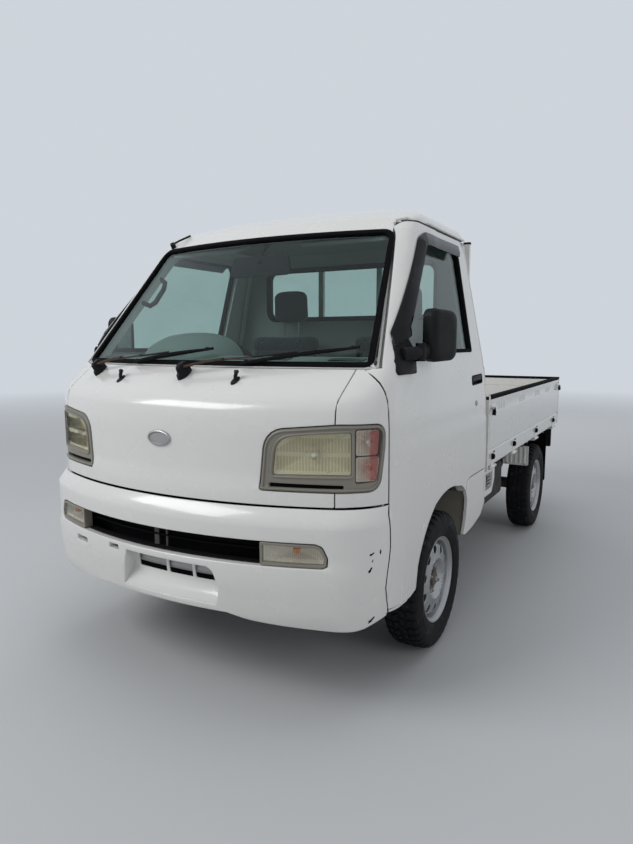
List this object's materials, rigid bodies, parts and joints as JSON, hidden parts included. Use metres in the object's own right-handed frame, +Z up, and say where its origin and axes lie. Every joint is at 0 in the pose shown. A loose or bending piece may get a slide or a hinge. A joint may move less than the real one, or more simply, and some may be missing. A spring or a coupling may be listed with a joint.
{
  "type": "kei truck",
  "caption": "Small cab-over pickup truck with a hollow two-seat cab, drop-side cargo bed, steered front wheels, opening doors and a ladder frame.",
  "frame": {"origin": "on the ground, below the middle of the overall length and width", "axes": "-Y is the way the truck faces, +X its left side, +Z up"},
  "size_m": [1.618, 3.395, 1.78],
  "materials": {
    "white_paint": "gloss",
    "frame_black": "satin",
    "cast_dark": "rough",
    "silver_steel": "satin",
    "tyre": "rough",
    "black_plastic": "matt",
    "grey_trim": "matt",
    "seat_cloth": "woven",
    "glass": "clear",
    "lamp_lens": "clear",
    "tail_lens": "clear"
  },
  "bodies": {
    "root": {"chassis_frame": "frame_black", "cab_floor": "white_paint", "cab_body": "white_paint", "roof_panel": "white_paint", "cab_back_panel": "white_paint", "front_panel": "white_paint", "corner_panels": "white_paint", "windshield": "glass", "rear_window": "glass", "front_bumper": "white_paint", "front_grille": "black_plastic", "headlights": "lamp_lens", "turn_lamps": "lamp_lens", "dashboard": "grey_trim", "seats": "seat_cloth", "steering_column": "black_plastic", "wipers": "frame_black", "bed_floor": "white_paint", "bed_sills": "frame_black", "guard_frame": "white_paint", "rear_axle": "frame_black", "leaf_springs": "frame_black", "front_suspension": "frame_black", "engine_block": "cast_dark", "propeller_shaft": "frame_black", "fuel_tank": "frame_black", "muffler": "cast_dark", "mudguards": "black_plastic", "side_covers": "white_paint", "tail_lamps": "tail_lens", "rear_bumper": "frame_black"},
    "steering_wheel": {"steering_wheel": "black_plastic"},
    "left_door": {"left_door": "white_paint", "left_door_glass": "glass", "left_mirror": "black_plastic"},
    "right_door": {"right_door": "white_paint", "right_door_glass": "glass", "right_mirror": "black_plastic"},
    "left_side_gate": {"left_side_gate": "white_paint"},
    "right_side_gate": {"right_side_gate": "white_paint"},
    "tail_gate": {"tail_gate": "white_paint"},
    "left_knuckle": {"left_knuckle": "cast_dark"},
    "right_knuckle": {"right_knuckle": "cast_dark"},
    "left_front_wheel": {"left_front_rim": "silver_steel", "left_front_tyre": "tyre"},
    "right_front_wheel": {"right_front_rim": "silver_steel", "right_front_tyre": "tyre"},
    "left_rear_wheel": {"left_rear_rim": "silver_steel", "left_rear_tyre": "tyre"},
    "right_rear_wheel": {"right_rear_rim": "silver_steel", "right_rear_tyre": "tyre"}
  },
  "joints": [
    {"name": "steering_turn", "type": "hinge", "parent": "root", "child": "steering_wheel", "pos_m": [-0.32, -0.9025, 1.095], "axis": [0, 0.6428, 0.766], "range_deg": [-595, 595]},
    {"name": "left_steer", "type": "hinge", "parent": "root", "child": "left_knuckle", "pos_m": [0.59, -0.8825, 0.195], "axis": [-0.1856, 0, 0.9826], "range_deg": [-34, 34]},
    {"name": "left_front_roll", "type": "hinge", "parent": "left_knuckle", "child": "left_front_wheel", "pos_m": [0.65, -0.8825, 0.268], "axis": [1, 0, 0], "continuous": true},
    {"name": "left_rear_roll", "type": "hinge", "parent": "root", "child": "left_rear_wheel", "pos_m": [0.65, 1.0175, 0.268], "axis": [1, 0, 0], "continuous": true},
    {"name": "left_door_swing", "type": "hinge", "parent": "root", "child": "left_door", "pos_m": [0.7295, -1.4025, 0.9], "axis": [0, 0, -1], "range_deg": [0, 70]},
    {"name": "left_gate_drop", "type": "hinge", "parent": "root", "child": "left_side_gate", "pos_m": [0.73, 0.7075, 0.598], "axis": [0, 1, 0], "range_deg": [0, 175]},
    {"name": "right_steer", "type": "hinge", "parent": "root", "child": "right_knuckle", "pos_m": [-0.59, -0.8825, 0.195], "axis": [0.1856, 0, 0.9826], "range_deg": [-34, 34]},
    {"name": "right_front_roll", "type": "hinge", "parent": "right_knuckle", "child": "right_front_wheel", "pos_m": [-0.65, -0.8825, 0.268], "axis": [1, 0, 0], "continuous": true},
    {"name": "right_rear_roll", "type": "hinge", "parent": "root", "child": "right_rear_wheel", "pos_m": [-0.65, 1.0175, 0.268], "axis": [1, 0, 0], "continuous": true},
    {"name": "right_door_swing", "type": "hinge", "parent": "root", "child": "right_door", "pos_m": [-0.7295, -1.4025, 0.9], "axis": [0, 0, 1], "range_deg": [0, 70]},
    {"name": "right_gate_drop", "type": "hinge", "parent": "root", "child": "right_side_gate", "pos_m": [-0.73, 0.7075, 0.598], "axis": [0, -1, 0], "range_deg": [0, 175]},
    {"name": "tail_gate_drop", "type": "hinge", "parent": "root", "child": "tail_gate", "pos_m": [0, 1.69, 0.598], "axis": [-1, 0, 0], "range_deg": [0, 175]}
  ],
  "couplings": [
    {"joint": "left_steer", "follows": "steering_turn", "ratio": 0.0571},
    {"joint": "right_steer", "follows": "steering_turn", "ratio": 0.0571}
  ]
}
